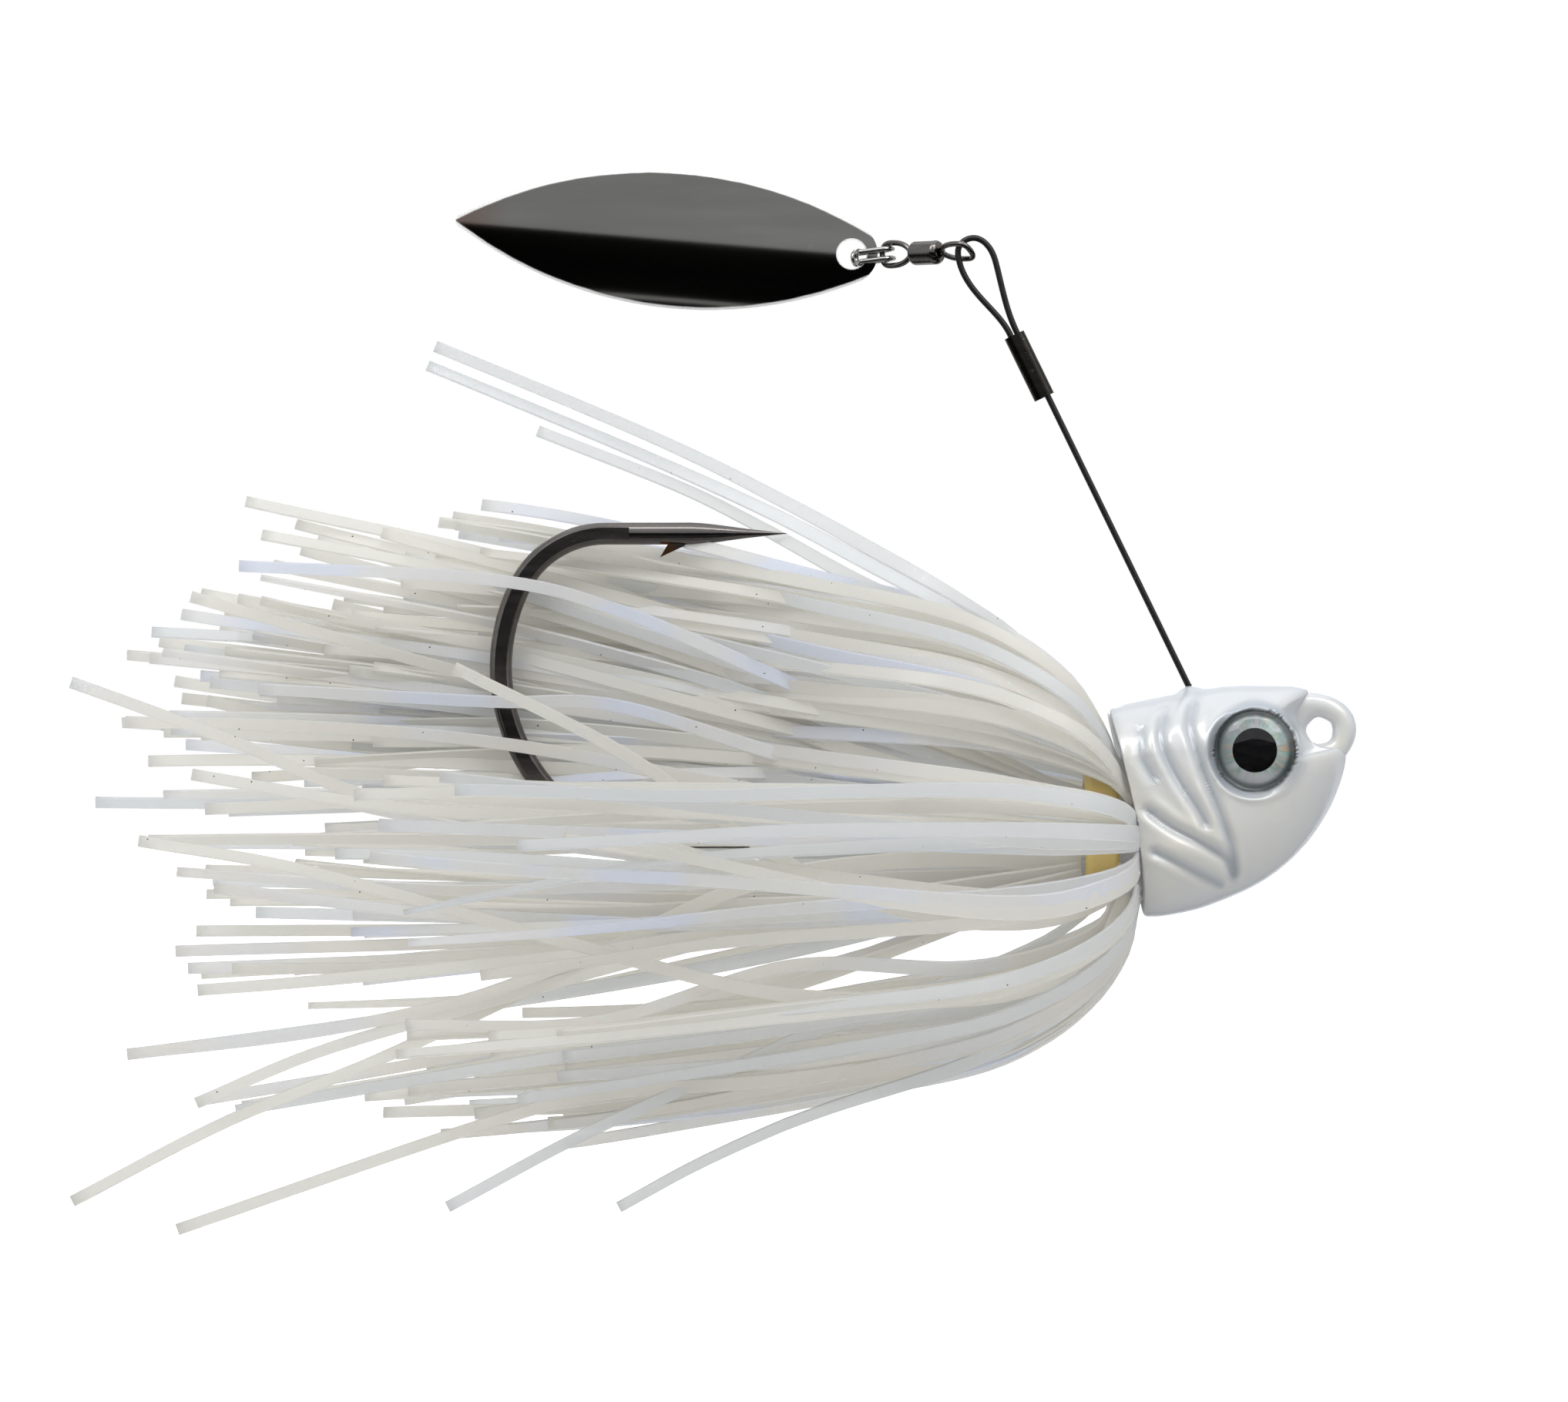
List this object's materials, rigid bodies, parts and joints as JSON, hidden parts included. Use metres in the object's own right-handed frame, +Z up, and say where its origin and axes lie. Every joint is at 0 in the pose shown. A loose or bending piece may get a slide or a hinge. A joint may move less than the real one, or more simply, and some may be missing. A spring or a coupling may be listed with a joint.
{
  "type": "spinnerbait",
  "caption": "Lead fish-head lure on a jig hook, with a flexible cable arm, barrel swivel, folded link, willow-leaf blade and silicone strand skirt.",
  "frame": {"origin": "centre of the line-tie eye", "axes": "+X towards the nose, +Z up towards the blade side, +Y to the lure's left; the lure lies in the XZ plane"},
  "size_m": [0.0777, 0.0299, 0.0587],
  "materials": {
    "pearl_paint": "pearl white paint over lead",
    "black_nickel": "black nickel plated steel wire",
    "black_coat": "black coated cable",
    "dark_sleeve": "black plated crimp sleeve",
    "bright_nickel": "bright nickel wire",
    "anchor_metal": "plain",
    "blade_mirror": "black nickel mirror",
    "eye_foil": "silver holographic foil with a black pupil",
    "eye_clear": "clear resin dome",
    "collar_rubber": "amber natural rubber",
    "silicone_pearl": "translucent pearl silicone",
    "silicone_smoke": "translucent smoke silicone",
    "silicone_flash": "opalescent silicone with blue flash",
    "silicone_glitter": "translucent silicone with fine flake"
  },
  "bodies": {
    "head": {"head_casting": "pearl_paint", "hook": "black_nickel", "arm_cable_root": "black_coat", "arm_anchor_ferrule": "anchor_metal", "eye_foil_left": "eye_foil", "eye_foil_right": "eye_foil", "eye_dome_left": "eye_clear", "eye_dome_right": "eye_clear", "skirt_collar": "collar_rubber", "skirt_pearl": "silicone_pearl", "skirt_smoke": "silicone_smoke", "skirt_flash": "silicone_flash", "skirt_glitter": "silicone_glitter"},
    "arm": {"arm_cable": "black_coat", "arm_crimp_sleeve": "dark_sleeve"},
    "front_eye": {"swivel_front_eye": "black_nickel"},
    "barrel": {"swivel_barrel": "black_nickel"},
    "rear_eye": {"swivel_rear_eye": "black_nickel"},
    "link": {"blade_link": "bright_nickel"},
    "leaf": {"blade": "blade_mirror"}
  },
  "joints": [
    {"name": "arm_flex", "type": "hinge", "parent": "head", "child": "arm", "pos_m": [-0.00827, 0, 0.003], "axis": [0, 1, 0], "range_deg": [-6, 25], "stiffness_Nm_per_rad": 0.03},
    {"name": "swivel_swing", "type": "hinge", "parent": "arm", "child": "front_eye", "pos_m": [-0.02245, 0, 0.02985], "axis": [0, 0, 1], "range_deg": [-47, 73]},
    {"name": "front_spin", "type": "hinge", "parent": "front_eye", "child": "barrel", "pos_m": [-0.0236, 0.0009, 0.02985], "axis": [0.788, -0.6157, 0], "continuous": true},
    {"name": "rear_spin", "type": "hinge", "parent": "barrel", "child": "rear_eye", "pos_m": [-0.02533, 0.00225, 0.02985], "axis": [0.788, -0.6157, 0], "continuous": true},
    {"name": "link_swing", "type": "hinge", "parent": "rear_eye", "child": "link", "pos_m": [-0.02718, 0.0037, 0.02985], "axis": [0, 0, 1], "range_deg": [-98, 22]},
    {"name": "blade_swing", "type": "hinge", "parent": "link", "child": "leaf", "pos_m": [-0.02784, 0.0037, 0.02977], "axis": [-0.1219, 0, 0.9925], "range_deg": [-35, 35]}
  ]
}
